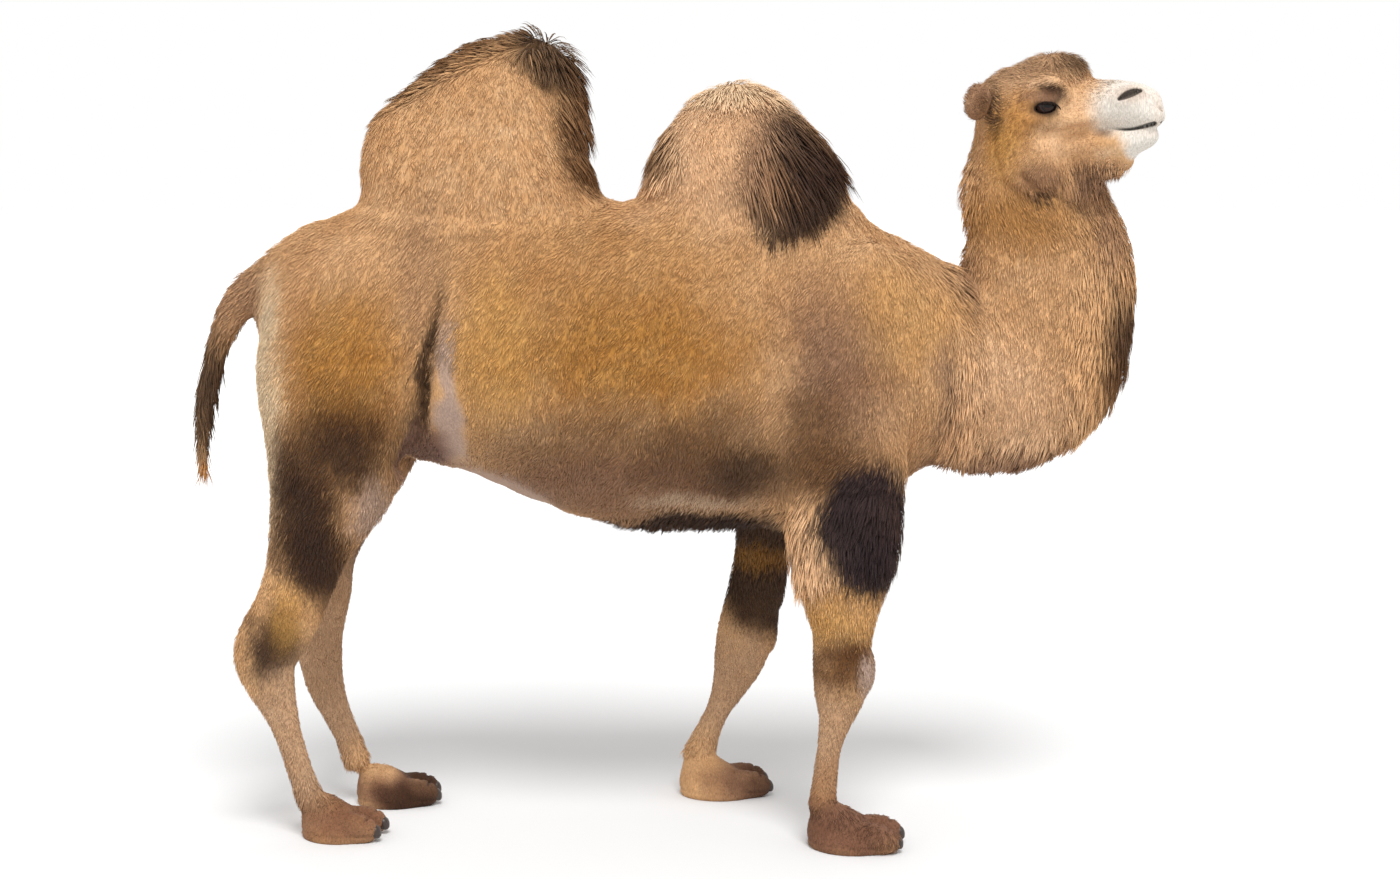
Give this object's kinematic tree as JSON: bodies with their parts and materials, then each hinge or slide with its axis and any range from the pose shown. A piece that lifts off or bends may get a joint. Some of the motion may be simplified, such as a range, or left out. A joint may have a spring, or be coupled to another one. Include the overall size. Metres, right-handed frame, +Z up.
{
  "type": "bactrian camel",
  "caption": "Life-size still model of a standing two-humped camel in a shaggy tan and brown coat, head turned slightly to its right.",
  "frame": {"origin": "on the floor, below the middle of the animal's outline", "axes": "+X towards the nose, +Y the animal's left, +Z up; soles on z = 0"},
  "size_m": [2.6226, 0.7136, 2.1827],
  "materials": {
    "coat": "short tan to ochre camel fur, longer on the hump crests, nape, throat and beard",
    "dark_coat": "long dark brown to blackish hair of the forearms, hump fringes, throat mane and tail",
    "pale_coat": "short beige-grey fur of the lower legs, feet and muzzle",
    "nail": "dull dark horn",
    "eye": "wet dark brown eye"
  },
  "bodies": {
    "root": {"trunk": "coat", "hump_rear": "coat", "hump_front": "coat", "neck_lower": "coat", "neck_upper": "coat", "head": "coat", "lower_jaw": "coat", "ear_left": "coat", "ear_right": "coat", "eye_left": "eye", "eye_right": "eye", "tail_root": "coat", "tail_middle": "dark_coat", "tail_tip": "dark_coat", "thigh_left": "coat", "shank_left": "coat", "hind_cannon_left": "pale_coat", "hind_foot_left": "pale_coat", "shoulder_left": "coat", "forearm_left": "dark_coat", "fore_cannon_left": "pale_coat", "fore_foot_left": "pale_coat", "hind_foot_left_nail_inner": "nail", "hind_foot_left_nail_outer": "nail", "fore_foot_left_nail_inner": "nail", "fore_foot_left_nail_outer": "nail", "thigh_right": "coat", "shank_right": "coat", "hind_cannon_right": "pale_coat", "hind_foot_right": "pale_coat", "shoulder_right": "coat", "forearm_right": "dark_coat", "fore_cannon_right": "pale_coat", "fore_foot_right": "pale_coat", "hind_foot_right_nail_inner": "nail", "hind_foot_right_nail_outer": "nail", "fore_foot_right_nail_inner": "nail", "fore_foot_right_nail_outer": "nail"}
  },
  "joints": []
}
